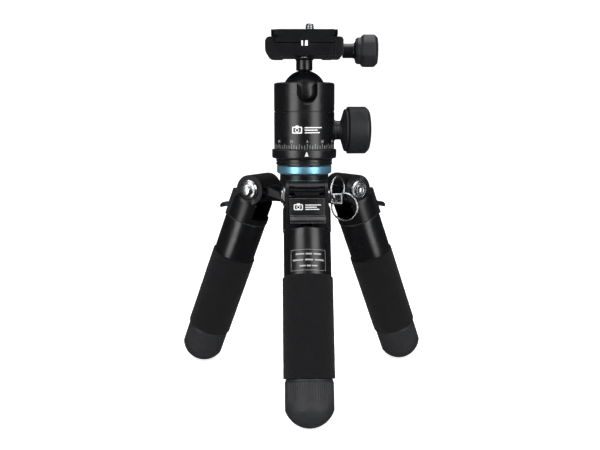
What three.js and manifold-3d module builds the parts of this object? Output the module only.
// Mini tabletop tripod with a panning ball head, a dovetail clamp and a quick-release plate.
// Millimetres, +Z up. The origin is on the ground, under the middle of the footprint.

import * as THREE from 'three';
import { mergeVertices } from 'three/addons/utils/BufferGeometryUtils.js';
import Module from 'manifold-3d';

const wasm = await Module();
wasm.setup();

// ---------------------------------------------------------------- driving dimensions

const GAP = 0.3; // clearance between touching pieces
const LEG_NAMES = ['front', 'right', 'left'];
const LEG_AZIMUTHS = [-90, 30, 150];
const HINGE_RADIUS = 36.6; // hinge axis from the tripod's centre line
const HINGE_HEIGHT = 135.1;
const LEAN = 22.1; // leg angle from vertical, degrees
const TUBE_OFFSET = 1.9; // tube axis, outward of the hinge axis
const HEAD_PAN = 3.5; // how far the head is turned on its base, degrees
const CLAMP_PAN = -2; // how far the clamp and the plate are turned

const TUBE_RADIUS = 15;
const TUBE_WALL = 2;
const GRIP_SEAT_RADIUS = 14; // the tube is turned down under the grip
const GRIP_RADIUS = 16;
const FOOT_RADIUS = 15;
const DOME_RADIUS = 15.9;

// distances down the leg from its hinge axis
const YOKE_END = 24.1;
const GRIP_START = 53.9;
const GRIP_END = 116;
const FOOT_START = GRIP_END + GAP;

const YOKE_RADIUS = 15.4;
const CHEEK_INSIDE = 11.45; // half the slot between the cheeks
const CHEEK_OUTSIDE = 13.4;
const CHEEK_RADIUS = 10.5;
const KNUCKLE_WIDTH = 15.6;
const BARREL_WIDTH = 22.4;
const BOLT_RADIUS = 2.5;
const BOLT_HOLE = BOLT_RADIUS + GAP;
const SPOT_FACE = 7.9; // flat on each cheek under the bolt head and the nut
const SELECTOR_WIDTH = 22.2;
const SELECTOR_FACE = 14.2; // outer face of the selector, from the hinge axis
const SELECTOR_THICKNESS = 2.2;
const SPRING_OFFSET = 9.9; // the selector spring's axis, from the hinge axis
const SPRING_RADIUS = 1.3;
const SPRING_TOP = -8.6; // the catch's foot above the spring
const SELECTOR_TOP = 5; // its upper edge, down the leg from the hinge axis

const HUB_TOP = 147.2;
const RING_RADIUS = 18.9;
const RING_TOP = 153.3;
const STEP_RADIUS = 19.4;
const BASE_RADIUS = 22.2;
const BASE_TOP = 164.1;
const PIVOT_RADIUS = 9;
const STUD_RADIUS = 4.7; // 3/8 inch stud

const HOUSING_RADIUS = 20.65;
const HOUSING_TOP = 209;
const BALL_RADIUS = 15;
const BALL_HEIGHT = 202.5;
const STEM_RADIUS = 5.6;
const NOTCH_RADIUS = 6.4;
const NOTCH_CHAMFER = 1.7;
const LOCK_HEIGHT = 176.9;
const LOCK_KNOB_RADIUS = 16.2;
const LOCK_KNOB_INNER = 24.5;
const LOCK_KNOB_OUTER = 44.4;

const CLAMP_BOTTOM = 225.6;
const CLAMP_TOP = 238.1;
const CLAMP_LEFT = -26;
const CLAMP_RIGHT = 25.6;
const CLAMP_HALF_LENGTH = 19;
const JAW_FACE = 20; // where the moving jaw meets the clamp body
const CLAMP_SCREW_HEIGHT = 230.3;
const CLAMP_KNOB_START = 35;
const CLAMP_KNOB_END = 49.6;
const CLAMP_KNOB_RADIUS = 10.85;
const GUIDE_PIN_SPREAD = 12.5;

const PLATE_TOP = 242.5;
const PLATE_BOTTOM = 234.4;
const PLATE_FLANGE = 238.6; // underside of the flange that lies over the clamp
const LIP_HEIGHT = 1.7;
const PLATE_HALF_WIDTH = 21.8;
const PLATE_HALF_LENGTH = 20;
const EAR_GAP = 20.1; // a thin ear stands off each side of the plate
const EAR_INSIDE = 20.9;
const DOVETAIL_HALF_WIDTH = 19.3;
const DOVETAIL_NECK = 17.6;
const SCREW_OFFSET = 3.6; // camera screw, to the right of the plate's middle
const CAMERA_SCREW_RADIUS = 2.95;
const CAMERA_SCREW_TOP = 248.2;
const GROOVE_MIDDLE = 0.25; // the slot along the clamp's floor
const GROOVE_HALF_WIDTH = 2.25;
const GROOVE_FLOOR = 232.1;
const PLATE_RECESS = 239.2; // ceiling of the recess along the plate's underside
const RECESS_MOUTH = 235.9; // and of its low mouth at the near end
const RECESS_START = -16;
const SCREW_HEAD_BOTTOM = 238.1;
const SCREW_HEAD_TOP = 239.6;
const STOP_OFFSET = -0.2; // the plate's stop screws, beside its middle
const STOP_SPREAD = 14.5;
const STOP_RADIUS = 0.7;
const STOP_BOTTOM = 232.6;
const STOP_TOP = 240.4;

const LINK_RADIUS = 7.6;
const LINK_WIRE = 0.75;
const KEY_RADIUS = 9;
const KEY_WIRE = 0.8;

// the three legs reach further forward than back, so the centre line stands behind the origin
const LEAN_SIN = Math.sin(THREE.MathUtils.degToRad(LEAN));
const LEAN_COS = Math.cos(THREE.MathUtils.degToRad(LEAN));
const DOME_CENTRE = (HINGE_HEIGHT + TUBE_OFFSET * LEAN_SIN - DOME_RADIUS) / LEAN_COS;
const FOOT_REACH = HINGE_RADIUS + TUBE_OFFSET * LEAN_COS + DOME_CENTRE * LEAN_SIN;
const CENTRE_LINE_Y = FOOT_REACH / 4;

// ---------------------------------------------------------------- materials

function finish(color, roughness, metalness) {
  return { color, roughness, metalness };
}

const BLACK_ALLOY = finish(0x1b1c20, 0.42, 0.6);
const BLACK_RUBBER = finish(0x202124, 0.8, 0);
const FOOT_RUBBER = finish(0x34363a, 0.75, 0);
const FOAM = finish(0x141416, 0.95, 0);
const CHROME = finish(0xd6d8db, 0.15, 1);
const STEEL = finish(0xa9adb2, 0.3, 1);
const BLUE_ALLOY = finish(0x4aa3d0, 0.25, 0.85);
const WHITE_PLASTIC = finish(0xe6e6e2, 0.5, 0);

// ---------------------------------------------------------------- shapes and booleans

function toSolid(geometry) {
  let welded = geometry;
  if (!geometry.userData.welded) {
    welded = geometry.clone();
    welded.deleteAttribute('normal');
    welded.deleteAttribute('uv');
    welded = mergeVertices(welded, 1e-4);
  }
  const vertProperties = new Float32Array(welded.attributes.position.array);
  const triVerts = new Uint32Array(welded.index.array);
  const solid = new wasm.Manifold(new wasm.Mesh({ numProp: 3, vertProperties, triVerts }));
  if (solid.volume() > 0) return solid;
  const flipped = triVerts.slice();
  for (let i = 0; i < flipped.length; i += 3) {
    flipped[i] = triVerts[i + 1];
    flipped[i + 1] = triVerts[i];
  }
  return new wasm.Manifold(new wasm.Mesh({ numProp: 3, vertProperties, triVerts: flipped }));
}

function toGeometry(solid) {
  const mesh = solid.getMesh();
  const geometry = new THREE.BufferGeometry();
  geometry.setAttribute('position', new THREE.BufferAttribute(mesh.vertProperties, 3));
  geometry.setIndex(new THREE.BufferAttribute(mesh.triVerts, 1));
  geometry.computeVertexNormals();
  geometry.userData = { welded: true };
  return geometry;
}

function combine(operation, first, others) {
  let result = toSolid(first);
  for (const other of others) {
    result = result[operation](toSolid(other));
  }
  return toGeometry(result);
}

function join(first, ...others) {
  return combine('add', first, others);
}

function cut(first, ...others) {
  return combine('subtract', first, others);
}

function shared(first, ...others) {
  return combine('intersect', first, others);
}

// a body of revolution about Z, from points of [radius, height]
function turned(profile, segments = 20) {
  const points = profile.map(([radius, height]) => new THREE.Vector2(radius, height));
  return new THREE.LatheGeometry(points, segments).rotateX(Math.PI / 2);
}

function rod(radius, low, high, segments = 20) {
  return turned([[0, low], [radius, low], [radius, high], [0, high]], segments);
}

function ring(inner, outer, low, high, segments = 20) {
  return turned([[inner, low], [outer, low], [outer, high], [inner, high], [inner, low]], segments);
}

function ball(radius, height, columns = 20, rows = 12) {
  return new THREE.SphereGeometry(radius, columns, rows).rotateX(Math.PI / 2).translate(0, 0, height);
}

function block(low, high) {
  const size = high.map((value, axis) => value - low[axis]);
  const middle = high.map((value, axis) => (value + low[axis]) / 2);
  return new THREE.BoxGeometry(...size).translate(...middle);
}

// turns a shape whose own axis is Z so that it lies along +X or +Y, at a height
function alongX(geometry, height = 0, y = 0) {
  return geometry.rotateY(Math.PI / 2).translate(0, y, height);
}

function alongY(geometry, x = 0, height = 0) {
  return geometry.rotateX(-Math.PI / 2).translate(x, 0, height);
}

// an outline of [x, z] points, extruded along Y over a half width each way
function profiled(outline, halfWidth, options = {}) {
  const shape = new THREE.Shape(outline.map(([x, z]) => new THREE.Vector2(x, z)));
  const settings = { depth: 2 * halfWidth, bevelEnabled: false, ...options };
  return new THREE.ExtrudeGeometry(shape, settings).rotateX(Math.PI / 2).translate(0, halfWidth, 0);
}

// points on an arc, angles in degrees
function arc(x, z, radius, from, to, steps) {
  const points = [];
  for (let i = 0; i <= steps; i += 1) {
    const angle = THREE.MathUtils.degToRad(from + ((to - from) * i) / steps);
    points.push([x + radius * Math.cos(angle), z + radius * Math.sin(angle)]);
  }
  return points;
}

function piece(name, geometry, material) {
  const settings = new THREE.MeshStandardMaterial({ ...material, flatShading: true });
  const mesh = new THREE.Mesh(geometry, settings);
  mesh.name = name;
  return mesh;
}

// ---------------------------------------------------------------- spider and base

// One arm, along +X with the hinge at its end: a web, a toothed knuckle and a wide barrel on top.
function spiderArm() {
  const reach = HINGE_RADIUS;
  const half = KNUCKLE_WIDTH / 2;
  const web = block([0, -half, HINGE_HEIGHT - 7.6], [reach, half, HINGE_HEIGHT + 2.9]);
  const knuckle = alongY(rod(CHEEK_RADIUS - GAP, -half, half), reach, HINGE_HEIGHT);
  const wide = BARREL_WIDTH / 2;
  const barrel = shared(
    alongY(rod(CHEEK_RADIUS, -wide, wide), reach, HINGE_HEIGHT),
    block([reach - 11, -wide - 1, HINGE_HEIGHT + 2.9], [reach + 7.2, wide + 1, HINGE_HEIGHT + 12]),
  );
  let arm = join(web, knuckle, barrel);
  // three stop teeth across the outer face of the knuckle
  for (const angle of [4, 21, 38]) {
    const notch = block([CHEEK_RADIUS - 1.7, -half - 4, -0.9], [CHEEK_RADIUS + 2, half + 4, 0.9]);
    notch.rotateY(-THREE.MathUtils.degToRad(angle)).translate(reach, 0, HINGE_HEIGHT);
    arm = cut(arm, notch);
  }
  return cut(arm, alongY(rod(BOLT_HOLE, -20, 20, 10), reach, HINGE_HEIGHT));
}

function spider() {
  const hub = turned([
    [0, 125.5], [11, 125.5], [16, 129], [17.4, 134], [17.4, 141],
    [16.8, 143.5], [16.8, HUB_TOP], [0, HUB_TOP],
  ], 24);
  let body = hub;
  for (const azimuth of LEG_AZIMUTHS) {
    body = join(body, spiderArm().rotateZ(THREE.MathUtils.degToRad(azimuth)));
  }
  const studHole = rod(STUD_RADIUS + GAP, HINGE_HEIGHT, HUB_TOP + 1, 12);
  return piece('spider', cut(body, studHole), BLACK_ALLOY);
}

function accentRing() {
  const low = HUB_TOP + GAP;
  const profile = [
    [12, low], [RING_RADIUS - 0.5, low], [RING_RADIUS, low + 0.5],
    [RING_RADIUS, RING_TOP - 0.5], [RING_RADIUS - 0.5, RING_TOP], [12, RING_TOP], [12, low],
  ];
  return piece('accent_ring', turned(profile, 28), BLUE_ALLOY);
}

function panBase() {
  const low = RING_TOP + GAP;
  const profile = [
    [0, 160.5], [STUD_RADIUS + GAP, 160.5], [STUD_RADIUS + GAP, low], [STEP_RADIUS, low],
    [STEP_RADIUS, 157.8], [BASE_RADIUS - 0.5, 158.2], [BASE_RADIUS, 158.7],
    [BASE_RADIUS, BASE_TOP - 0.5], [BASE_RADIUS - 0.5, BASE_TOP],
    [PIVOT_RADIUS, BASE_TOP], [PIVOT_RADIUS, 171], [0, 171],
  ];
  return piece('pan_base', turned(profile, 28), BLACK_ALLOY);
}

function mountStud() {
  return piece('mount_stud', rod(STUD_RADIUS, HINGE_HEIGHT + 1, 160.2, 12), STEEL);
}

function panWasher() {
  const washer = ring(PIVOT_RADIUS + 0.4, 18, BASE_TOP + GAP, BASE_TOP + 1.3);
  return piece('pan_washer', washer, WHITE_PLASTIC);
}

// ---------------------------------------------------------------- head, in its own panned frame

// The drop notch: a slot with a round bottom, open to the front and the top, with a chamfered rim.
function dropNotch() {
  const outline = arc(0, BALL_HEIGHT - 0.2, NOTCH_RADIUS, 180, 360, 12);
  outline.push([NOTCH_RADIUS, HOUSING_TOP + 6], [-NOTCH_RADIUS, HOUSING_TOP + 6]);
  const shape = new THREE.Shape(outline.map(([x, z]) => new THREE.Vector2(x, z)));
  const flare = { bevelEnabled: true, bevelSegments: 1, bevelThickness: 2, bevelSize: NOTCH_CHAMFER };
  const straight = new THREE.ExtrudeGeometry(shape, { depth: 30, bevelEnabled: false });
  straight.rotateX(Math.PI / 2);
  const flared = new THREE.ExtrudeGeometry(shape, { depth: 4, ...flare });
  flared.rotateX(Math.PI / 2).translate(0, -HOUSING_RADIUS - 0.4, 0);
  return [straight, flared];
}

function housing() {
  const low = BASE_TOP + GAP;
  const bore = BALL_RADIUS + 0.35;
  const barrel = turned([
    [0, low], [BASE_RADIUS - 0.3, low], [BASE_RADIUS - 0.3, low + 0.6], [HOUSING_RADIUS, 166.7],
    [HOUSING_RADIUS, 188.8], [HOUSING_RADIUS - 0.5, 189.2], [HOUSING_RADIUS - 0.5, 190],
    [HOUSING_RADIUS, 190.4], [HOUSING_RADIUS, 206.6], [HOUSING_RADIUS - 0.7, 208.3],
    [HOUSING_RADIUS - 2.2, HOUSING_TOP], [0, HOUSING_TOP],
  ], 32);
  const neck = LOCK_KNOB_INNER - GAP;
  const bossProfile = [[0, 14], [7.4, 14], [7.4, 21.4], [6.6, 22.2], [6.6, neck], [0, neck]];
  const boss = alongX(turned(bossProfile, 20), LOCK_HEIGHT);
  const body = cut(
    join(barrel, boss),
    ball(bore, BALL_HEIGHT, 24, 12),
    rod(bore, 171.8, BALL_HEIGHT, 24),
    rod(PIVOT_RADIUS + 0.4, low - 1, 173),
    rod(18.4, low - 1, BASE_TOP + 1.6),
    alongX(rod(3.4, 5, 30, 12), LOCK_HEIGHT),
    ...dropNotch(),
  );
  return piece('head_housing', body, BLACK_ALLOY);
}

function ballSeat() {
  const cup = turned([
    [7, 181.2], [12, 180.6], [BALL_RADIUS - 0.1, 184], [BALL_RADIUS - 0.1, 195], [7, 195], [7, 181.2],
  ], 20);
  const pocket = ball(BALL_RADIUS + 2 * GAP, BALL_HEIGHT);
  return piece('ball_seat', cut(cup, pocket), WHITE_PLASTIC);
}

function lockScrew() {
  const profile = [[0, 10.5], [1.6, 10.5], [3, 12.5], [3, 36], [0, 36]];
  return piece('lock_screw', alongX(turned(profile, 12), LOCK_HEIGHT), STEEL);
}

function lockKnob() {
  const start = LOCK_KNOB_INNER;
  const end = LOCK_KNOB_OUTER;
  const rim = LOCK_KNOB_RADIUS;
  const knob = turned([
    [0, start], [6.6, start], [rim - 2.6, start + 3.6], [rim - 1.9, start + 5.4], [rim, start + 7],
    [rim, end - 3.4], [rim - 0.8, end - 1.2], [rim - 2.8, end], [0, end],
  ], 28);
  const bore = rod(3 + GAP, start - 1, 36.5, 12);
  return piece('lock_knob', alongX(cut(knob, bore), LOCK_HEIGHT), BLACK_RUBBER);
}

function headBall() {
  return piece('ball', ball(BALL_RADIUS, BALL_HEIGHT, 24, 12), BLACK_ALLOY);
}

function headStem() {
  const stem = turned([
    [0, BALL_HEIGHT + 10], [STEM_RADIUS, BALL_HEIGHT + 10], [STEM_RADIUS, 221.2],
    [6.3, 222.9], [8.2, CLAMP_BOTTOM - GAP], [0, CLAMP_BOTTOM - GAP],
  ], 16);
  const saddle = ball(BALL_RADIUS + 2 * GAP, BALL_HEIGHT, 24, 12);
  const screwHole = rod(3 + GAP, 219.4, CLAMP_BOTTOM, 10);
  return piece('head_stem', cut(stem, saddle, screwHole), BLACK_ALLOY);
}

// ---------------------------------------------------------------- clamp

const CHANNEL_FLOOR = PLATE_BOTTOM - 0.4;
const LIP_EDGE = DOVETAIL_NECK + 0.4;
const LIP_ROOT = DOVETAIL_HALF_WIDTH + 0.4;

function clampBody() {
  const right = JAW_FACE - GAP;
  const outline = [
    ...arc(CLAMP_LEFT + 6.5, CLAMP_BOTTOM + 6, 6.2, 180, 268, 6),
    [CLAMP_LEFT + 10, CLAMP_BOTTOM], [CLAMP_LEFT + 11, CLAMP_BOTTOM + 0.5],
    [right - 8, CLAMP_BOTTOM + 0.5], [right - 7, CLAMP_BOTTOM], [right, CLAMP_BOTTOM],
    [right, CHANNEL_FLOOR],
    [GROOVE_MIDDLE + GROOVE_HALF_WIDTH, CHANNEL_FLOOR], [GROOVE_MIDDLE + GROOVE_HALF_WIDTH, GROOVE_FLOOR],
    [GROOVE_MIDDLE - GROOVE_HALF_WIDTH, GROOVE_FLOOR], [GROOVE_MIDDLE - GROOVE_HALF_WIDTH, CHANNEL_FLOOR],
    [-LIP_ROOT, CHANNEL_FLOOR], [-LIP_ROOT, CLAMP_TOP - LIP_HEIGHT], [-LIP_EDGE, CLAMP_TOP - 0.3],
    [-LIP_EDGE - 0.4, CLAMP_TOP], ...arc(CLAMP_LEFT + 2.2, CLAMP_TOP - 2, 2, 90, 180, 4),
  ];
  const screwHole = alongX(rod(2.9, 7, 30, 10), CLAMP_SCREW_HEIGHT);
  const centreHole = rod(3 + GAP, CLAMP_BOTTOM - 1, 231, 10);
  const counterbore = rod(4.6 + GAP, 230.4, CHANNEL_FLOOR + 1, 12);
  const pinHoles = [-1, 1].map((side) => (
    alongX(rod(2.3, 7.5, 30, 8), CLAMP_SCREW_HEIGHT, side * GUIDE_PIN_SPREAD)
  ));
  const body = cut(
    profiled(outline, CLAMP_HALF_LENGTH), screwHole, centreHole, counterbore, ...pinHoles,
  );
  return piece('clamp_body', body, BLACK_ALLOY);
}

function clampJaw() {
  const outline = [
    [JAW_FACE, CLAMP_BOTTOM], ...arc(CLAMP_RIGHT - 2.6, CLAMP_BOTTOM + 2.6, 2.6, 270, 360, 4),
    ...arc(CLAMP_RIGHT - 2, CLAMP_TOP - 2, 2, 0, 90, 4),
    [LIP_EDGE + 0.4, CLAMP_TOP], [LIP_EDGE, CLAMP_TOP - 0.3], [LIP_ROOT, CLAMP_TOP - LIP_HEIGHT],
    [LIP_ROOT, CHANNEL_FLOOR + 0.4], [JAW_FACE, CHANNEL_FLOOR + 0.4],
  ];
  const screwHole = alongX(rod(2.9, 15, 30, 10), CLAMP_SCREW_HEIGHT);
  const pinHoles = [-1, 1].map((side) => (
    alongX(rod(2.3, 15, 24.6, 8), CLAMP_SCREW_HEIGHT, side * GUIDE_PIN_SPREAD)
  ));
  const jaw = cut(profiled(outline, CLAMP_HALF_LENGTH), screwHole, ...pinHoles);
  return piece('clamp_jaw', jaw, BLACK_ALLOY);
}

function guidePin(name, side) {
  const pin = alongX(rod(1.9, 8, 24.3, 8), CLAMP_SCREW_HEIGHT, side * GUIDE_PIN_SPREAD);
  return piece(name, pin, STEEL);
}

function clampScrew() {
  const profile = [
    [0, 8], [2.6, 8], [2.6, CLAMP_RIGHT + GAP], [4.9, CLAMP_RIGHT + GAP],
    [4.9, CLAMP_KNOB_START - GAP], [2.6, CLAMP_KNOB_START - GAP], [2.6, 45], [0, 45],
  ];
  return piece('clamp_screw', alongX(turned(profile, 14), CLAMP_SCREW_HEIGHT), STEEL);
}

function clampKnob() {
  const start = CLAMP_KNOB_START;
  const end = CLAMP_KNOB_END;
  const rim = CLAMP_KNOB_RADIUS;
  const knob = turned([
    [0, start], [7.2, start], [8.6, start + 1.2], [9.2, start + 3], [rim - 0.3, start + 4.2],
    [rim, start + 6], [rim - 0.3, end - 2.4], [rim - 1.3, end - 0.7], [rim - 2.8, end], [0, end],
  ], 20);
  const bore = rod(2.6 + GAP, start - 1, 45.4, 10);
  return piece('clamp_knob', alongX(cut(knob, bore), CLAMP_SCREW_HEIGHT), BLACK_RUBBER);
}

function clampCentreScrew() {
  const profile = [[0, 219.8], [3, 219.8], [3, 230.7], [4.6, 230.7], [4.6, 233.2], [0, 233.2]];
  return piece('clamp_centre_screw', turned(profile, 10), STEEL);
}

// ---------------------------------------------------------------- quick-release plate

function qrPlate() {
  const half = [
    [DOVETAIL_HALF_WIDTH, PLATE_BOTTOM], [DOVETAIL_HALF_WIDTH, CLAMP_TOP - LIP_HEIGHT - 0.1],
    [DOVETAIL_NECK, CLAMP_TOP - 0.1], [DOVETAIL_NECK, PLATE_FLANGE], [EAR_GAP, PLATE_FLANGE],
    [EAR_GAP, PLATE_TOP - 0.9], [EAR_INSIDE, PLATE_TOP - 0.9], [EAR_INSIDE, PLATE_FLANGE],
    [PLATE_HALF_WIDTH, PLATE_FLANGE], [PLATE_HALF_WIDTH, PLATE_TOP - 0.4],
    [PLATE_HALF_WIDTH - 0.4, PLATE_TOP],
  ];
  const mirrored = half.map(([x, z]) => [-x, z]).reverse();
  const pocket = block([-19.3, -18.3, PLATE_TOP - 1.1], [19.3, 18.3, PLATE_TOP + 1]);
  const screwHole = rod(CAMERA_SCREW_RADIUS + GAP, 230, 250, 12).translate(SCREW_OFFSET, 0, 0);
  const headHole = rod(6.8, PLATE_BOTTOM - 1, SCREW_HEAD_TOP + 0.3, 16).translate(SCREW_OFFSET, 0, 0);
  const stopHoles = [-STOP_SPREAD, STOP_SPREAD].map((y) => (
    rod(STOP_RADIUS + GAP, PLATE_BOTTOM - 1, STOP_TOP + GAP, 8).translate(STOP_OFFSET, y, 0)
  ));
  const grooveLeft = GROOVE_MIDDLE - GROOVE_HALF_WIDTH;
  const grooveRight = GROOVE_MIDDLE + GROOVE_HALF_WIDTH;
  const recess = block(
    [grooveLeft, RECESS_START, PLATE_BOTTOM - 1], [grooveRight, PLATE_HALF_LENGTH + 1, PLATE_RECESS],
  );
  const mouth = block(
    [grooveLeft, -PLATE_HALF_LENGTH - 1, PLATE_BOTTOM - 1], [grooveRight, RECESS_START + 0.5, RECESS_MOUTH],
  );
  const outline = [...half, ...mirrored];
  const plate = cut(
    profiled(outline, PLATE_HALF_LENGTH), pocket, screwHole, headHole, recess, mouth, ...stopHoles,
  );
  return piece('qr_plate', plate, BLACK_ALLOY);
}

function platePad() {
  const slab = block([-19, -18, PLATE_TOP - 0.8], [19, 18, PLATE_TOP + 0.5]);
  const hole = rod(4.6, PLATE_TOP - 3, PLATE_TOP + 2, 16).translate(SCREW_OFFSET, 0, 0);
  return piece('plate_pad', cut(slab, hole), BLACK_RUBBER);
}

function cameraScrew() {
  const profile = [
    [0, SCREW_HEAD_BOTTOM], [6.5, SCREW_HEAD_BOTTOM], [6.5, SCREW_HEAD_TOP],
    [CAMERA_SCREW_RADIUS, SCREW_HEAD_TOP],
    [CAMERA_SCREW_RADIUS, CAMERA_SCREW_TOP - 0.6], [CAMERA_SCREW_RADIUS - 0.6, CAMERA_SCREW_TOP],
    [0, CAMERA_SCREW_TOP],
  ];
  return piece('camera_screw', turned(profile, 16).translate(SCREW_OFFSET, 0, 0), STEEL);
}

function stopScrew(name, y) {
  const screw = rod(STOP_RADIUS, STOP_BOTTOM, STOP_TOP, 8).translate(STOP_OFFSET, y, 0);
  return piece(name, screw, STEEL);
}

// ---------------------------------------------------------------- legs, hinge at the origin, +X outward

function offsetRod(radius, from, to, segments = 20) {
  return rod(radius, -to, -from, segments).translate(TUBE_OFFSET, 0, 0);
}

function yoke() {
  const barrel = alongY(rod(CHEEK_RADIUS, -CHEEK_OUTSIDE, CHEEK_OUTSIDE, 24));
  const shoulder = turned([
    [0, -YOKE_END], [YOKE_RADIUS, -YOKE_END], [YOKE_RADIUS, -9.5], [CHEEK_OUTSIDE, -3], [0, -3],
  ], 24).translate(TUBE_OFFSET, 0, 0);
  const railLow = -YOKE_END;
  const rails = [-1, 1].map((side) => {
    const near = side > 0 ? CHEEK_INSIDE : -CHEEK_OUTSIDE;
    const far = side > 0 ? CHEEK_OUTSIDE : -CHEEK_INSIDE;
    return block([4, near, railLow], [SELECTOR_FACE - 1.6, far, -SELECTOR_TOP + 1]);
  });
  const plug = offsetRod(TUBE_RADIUS - TUBE_WALL - GAP, YOKE_END - 1, YOKE_END + 9);
  const body = join(barrel, shoulder, ...rails, plug);
  // the knuckle turns in this slot; it is deeper on the inner side, where the arm comes in
  const slotFloor = -YOKE_END + 4.5;
  const slot = block([-30, -CHEEK_INSIDE, slotFloor], [3, CHEEK_INSIDE, 20]);
  const saddle = alongY(rod(CHEEK_RADIUS + 2 * GAP, -CHEEK_INSIDE, CHEEK_INSIDE));
  const mouth = block([0, -CHEEK_INSIDE, -7], [30, CHEEK_INSIDE, 20]);
  const channelFloor = SELECTOR_FACE - SELECTOR_THICKNESS - GAP;
  const channel = block([channelFloor, -CHEEK_INSIDE, -YOKE_END - 1], [30, CHEEK_INSIDE, 20]);
  const springPocket = block(
    [SPRING_OFFSET - 2.1, -3.2, -YOKE_END + 2], [SELECTOR_FACE, 3.2, SPRING_TOP + 0.6],
  );
  const boltHole = alongY(rod(BOLT_HOLE, -20, 20, 10));
  const spotFaces = [
    alongY(rod(SPOT_FACE, -20, -CHEEK_OUTSIDE)), alongY(rod(SPOT_FACE, CHEEK_OUTSIDE, 20)),
  ];
  return cut(body, slot, saddle, mouth, channel, springPocket, boltHole, ...spotFaces);
}

// A thin catch that slides in the channel, with a finger tab that curves out at its lower end.
function selector() {
  const face = SELECTOR_FACE;
  const back = face - SELECTOR_THICKNESS;
  const outline = [
    [back, -SELECTOR_TOP - 0.6], [back + 0.6, -SELECTOR_TOP], [face, -SELECTOR_TOP],
    [face, -16.2], [face + 1, -17.4], [face + 4.2, -18.4], [face + 5.6, -19.6], [face + 6, -21.4],
    [face + 5.2, -22.8], [face + 4.1, -22.6], [face + 3.3, -20.9], [face + 2.5, -19.9], [back, -19.9],
  ];
  const plate = profiled(outline, SELECTOR_WIDTH / 2);
  const foot = block([SPRING_OFFSET - 0.8, -2.6, SPRING_TOP - 1.4], [face - 1, 2.6, SPRING_TOP]);
  return join(plate, foot);
}

// a light coil spring in the pocket under the selector
function selectorSpring() {
  const turns = 4;
  const steps = turns * 8;
  const low = -YOKE_END + 2.4;
  const high = SPRING_TOP - 1.4 - GAP - 0.3;
  const points = [];
  for (let i = 0; i <= steps; i += 1) {
    const angle = (2 * Math.PI * turns * i) / steps;
    const z = low + 0.4 + ((high - low - 0.8) * i) / steps;
    const x = SPRING_OFFSET + SPRING_RADIUS * Math.cos(angle);
    points.push(new THREE.Vector3(x, SPRING_RADIUS * Math.sin(angle), z));
  }
  const wire = new THREE.Shape([
    new THREE.Vector2(0.28, 0), new THREE.Vector2(0, 0.28),
    new THREE.Vector2(-0.28, 0), new THREE.Vector2(0, -0.28),
  ]);
  const path = new THREE.CatmullRomCurve3(points);
  const coil = new THREE.ExtrudeGeometry(wire, { steps, extrudePath: path, bevelEnabled: false });
  return toGeometry(toSolid(coil));
}

function legTube() {
  const inner = TUBE_RADIUS - TUBE_WALL;
  const low = -GRIP_END;
  const step = -GRIP_START + GAP;
  const high = -YOKE_END - GAP;
  return turned([
    [inner, low], [GRIP_SEAT_RADIUS, low], [GRIP_SEAT_RADIUS, step], [TUBE_RADIUS, step],
    [TUBE_RADIUS, high], [inner, high], [inner, low],
  ], 20).translate(TUBE_OFFSET, 0, 0);
}

function legGrip() {
  const inner = GRIP_SEAT_RADIUS + GAP;
  const low = -GRIP_END;
  const high = -GRIP_START;
  return turned([
    [inner, low], [GRIP_RADIUS - 0.7, low], [GRIP_RADIUS, low + 0.8], [GRIP_RADIUS, high - 0.8],
    [GRIP_RADIUS - 0.7, high], [inner, high], [inner, low],
  ], 20).translate(TUBE_OFFSET, 0, 0);
}

function foot() {
  const meet = Math.acos(FOOT_RADIUS / DOME_RADIUS);
  const dome = [];
  const steps = 5;
  for (let i = 0; i <= steps; i += 1) {
    const angle = -Math.PI / 2 + ((Math.PI / 2 - meet) * i) / steps;
    dome.push([DOME_RADIUS * Math.cos(angle), -DOME_CENTRE + DOME_RADIUS * Math.sin(angle)]);
  }
  dome[0][0] = 0;
  const top = -FOOT_START;
  const body = turned([...dome, [FOOT_RADIUS, top - 0.8], [FOOT_RADIUS - 0.8, top], [0, top]], 24);
  const bore = rod(5 + GAP, top - 11.4, top + 1, 12);
  return cut(body, bore).translate(TUBE_OFFSET, 0, 0);
}

function footStud() {
  const top = -FOOT_START;
  const plug = TUBE_RADIUS - TUBE_WALL - GAP;
  return turned([
    [0, top - 11], [5, top - 11], [5, top + GAP], [plug, top + GAP], [plug, top + 8], [0, top + 8],
  ], 14).translate(TUBE_OFFSET, 0, 0);
}

function hingeBolt() {
  const shank = rod(BOLT_RADIUS, -CHEEK_OUTSIDE - 0.5, CHEEK_OUTSIDE + 1.9, 10);
  const outer = -CHEEK_OUTSIDE - GAP;
  const head = turned([
    [0, outer - 2.9], [3.6, outer - 2.8], [5.6, outer - 1.9], [6.5, outer - 0.8], [6.5, outer], [0, outer],
  ], 16);
  const socket = rod(2, outer - 4, outer - 1.3, 6);
  return alongY(cut(join(head, shank), socket));
}

function nutFlange(radius) {
  const low = CHEEK_OUTSIDE + GAP;
  return turned([[0, low], [radius, low], [radius, low + 2.2], [radius - 0.7, low + 3], [0, low + 3]], 16);
}

function hingeNut() {
  const low = CHEEK_OUTSIDE + GAP;
  const hex = rod(4.9, low + 2, low + 4.6, 6);
  const cap = turned([[0, low + 4], [4.1, low + 4], [4.1, low + 5.5], [3.5, low + 6], [0, low + 6]], 12);
  const bore = rod(BOLT_HOLE, low - 1, low + 2.6, 10);
  return alongY(cut(join(nutFlange(7.1), hex, cap), bore));
}

// the front leg's nut carries an eye for the link ring
const EYE_START = CHEEK_OUTSIDE + GAP + 3;
const EYE_MIDDLE = EYE_START + 3.5;

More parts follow.
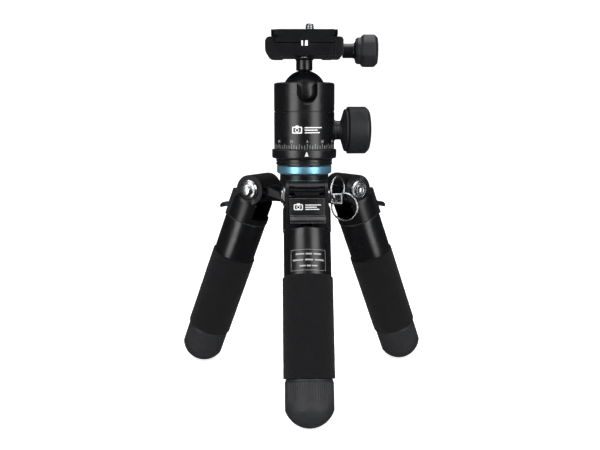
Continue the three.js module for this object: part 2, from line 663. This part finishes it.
function ringLug() {
  const low = CHEEK_OUTSIDE + GAP;
  const bore = rod(BOLT_HOLE, low - 1, low + 2.6, 10);
  const flange = alongY(cut(nutFlange(4.6), bore));
  const eye = block([-1, EYE_START - 1, -5.2], [1, EYE_MIDDLE + 2.8, 1.6]);
  const window = block([-6, EYE_MIDDLE - 1.9, -4.1], [6, EYE_MIDDLE + 1.9, 0.4]);
  return cut(join(flange, eye), window);
}

function leg(name, azimuth, isFront) {
  const parts = new THREE.Group();
  parts.add(
    piece(`leg_yoke_${name}`, yoke(), BLACK_ALLOY),
    piece(`hinge_bolt_${name}`, hingeBolt(), CHROME),
    piece(`angle_selector_${name}`, selector(), BLACK_ALLOY),
    piece(`selector_spring_${name}`, selectorSpring(), STEEL),
    piece(`leg_tube_${name}`, legTube(), BLACK_ALLOY),
    piece(`leg_grip_${name}`, legGrip(), FOAM),
    piece(`foot_${name}`, foot(), FOOT_RUBBER),
    piece(`foot_stud_${name}`, footStud(), STEEL),
  );
  parts.add(isFront ? piece('ring_lug', ringLug(), CHROME) : piece(`hinge_nut_${name}`, hingeNut(), CHROME));
  parts.position.set(HINGE_RADIUS, 0, HINGE_HEIGHT);
  parts.rotation.y = -THREE.MathUtils.degToRad(LEAN);
  const placed = new THREE.Group();
  placed.add(parts);
  placed.rotation.z = THREE.MathUtils.degToRad(azimuth);
  return placed;
}

// ---------------------------------------------------------------- rings at the front leg

// The link ring stands in the lug's eye, and the key ring hangs through the link ring.
const LINK_TURN = 38; // turn of the link ring's plane from straight ahead, degrees
const KEY_TURN = -27;
const EYE_HEIGHT = HINGE_HEIGHT - 1.4 * LEAN_COS;

function wireRing(radius, wire, segments) {
  return new THREE.TorusGeometry(radius, wire, 6, segments).rotateX(Math.PI / 2);
}

function ringSet() {
  const group = new THREE.Group();
  const link = piece('link_ring', toGeometry(toSolid(wireRing(LINK_RADIUS, LINK_WIRE, 18))), CHROME);
  link.position.set(EYE_MIDDLE, -HINGE_RADIUS - 1, EYE_HEIGHT + LINK_RADIUS - 1.2);
  link.rotation.z = THREE.MathUtils.degToRad(90 - LINK_TURN);
  const key = piece('key_ring', toGeometry(toSolid(wireRing(KEY_RADIUS, KEY_WIRE, 22))), CHROME);
  key.position.set(EYE_MIDDLE + 4.8, -HINGE_RADIUS + 1.6, EYE_HEIGHT - 5.8);
  key.rotation.z = THREE.MathUtils.degToRad(KEY_TURN);
  group.add(link, key);
  return group;
}

// ---------------------------------------------------------------- assembly

const head = new THREE.Group();
head.add(housing(), ballSeat(), lockScrew(), lockKnob(), headBall(), headStem());
head.rotation.z = THREE.MathUtils.degToRad(HEAD_PAN);

const clamp = new THREE.Group();
clamp.add(
  clampBody(), clampJaw(), guidePin('guide_pin_near', -1), guidePin('guide_pin_far', 1),
  clampScrew(), clampKnob(), clampCentreScrew(), qrPlate(), platePad(), cameraScrew(),
  stopScrew('stop_screw_near', -STOP_SPREAD), stopScrew('stop_screw_far', STOP_SPREAD),
);
clamp.rotation.z = THREE.MathUtils.degToRad(CLAMP_PAN);

const tripod = new THREE.Group();
tripod.add(spider(), mountStud(), accentRing(), panBase(), panWasher(), head, clamp, ringSet());
LEG_NAMES.forEach((name, index) => {
  tripod.add(leg(name, LEG_AZIMUTHS[index], name === 'front'));
});
tripod.position.y = CENTRE_LINE_Y;

const assembly = new THREE.Group();
assembly.add(tripod);

export default assembly;
